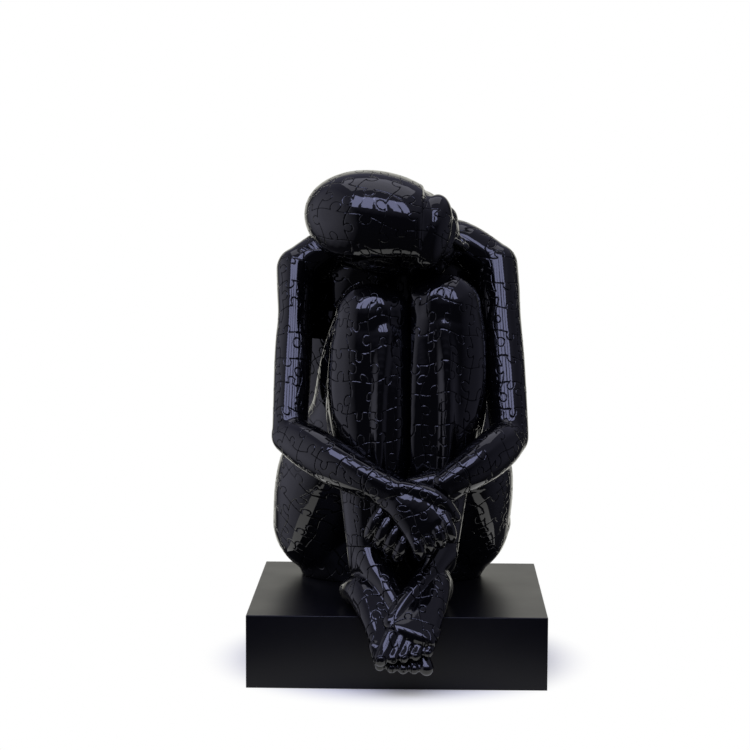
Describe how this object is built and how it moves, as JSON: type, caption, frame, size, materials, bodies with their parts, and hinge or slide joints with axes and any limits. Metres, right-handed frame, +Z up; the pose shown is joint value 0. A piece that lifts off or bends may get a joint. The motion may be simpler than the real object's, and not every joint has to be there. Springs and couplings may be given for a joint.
{
  "type": "seated figure sculpture",
  "caption": "Seated figure hugging its drawn-up knees with the head laid on them, in gloss black castings with a jigsaw-cut surface, on a satin black box plinth.",
  "frame": {"origin": "centre of the felt's underside, which the sculpture stands on", "axes": "+Z up, -Y the way the figure faces, +X towards the figure's own left"},
  "size_m": [0.3, 0.3356, 0.5135],
  "materials": {
    "resin": "black cast resin under a polished clear lacquer",
    "lacquered_board": "satin black lacquer on board",
    "raw_board": "raw board",
    "steel": "zinc plated",
    "felt": "black felt"
  },
  "bodies": {
    "root": {"torso_casting": "resin", "head_casting": "resin", "right_arm_casting": "resin", "right_hand_casting": "resin", "right_leg_casting": "resin", "right_foot_casting": "resin", "left_arm_casting": "resin", "left_hand_casting": "resin", "left_leg_casting": "resin", "left_foot_casting": "resin", "neck_dowel": "steel", "right_shoulder_dowel": "steel", "right_wrist_dowel": "steel", "right_hip_dowel": "steel", "right_ankle_dowel": "steel", "left_shoulder_dowel": "steel", "left_wrist_dowel": "steel", "left_hip_dowel": "steel", "left_ankle_dowel": "steel", "right_seat_stud": "steel", "right_seat_washer": "steel", "right_seat_nut": "steel", "right_heel_stud": "steel", "right_heel_washer": "steel", "right_heel_nut": "steel", "left_seat_stud": "steel", "left_seat_washer": "steel", "left_seat_nut": "steel", "left_heel_stud": "steel", "left_heel_washer": "steel", "left_heel_nut": "steel", "base_screw_front_right": "steel", "base_screw_front_left": "steel", "base_screw_back_right": "steel", "base_screw_back_left": "steel", "plinth_top": "lacquered_board", "plinth_front_panel": "lacquered_board", "plinth_back_panel": "lacquered_board", "plinth_right_panel": "lacquered_board", "plinth_left_panel": "lacquered_board", "plinth_base_board": "raw_board", "corner_block_front_right": "raw_board", "corner_block_front_left": "raw_board", "corner_block_back_right": "raw_board", "corner_block_back_left": "raw_board", "felt_base": "felt"}
  },
  "joints": []
}
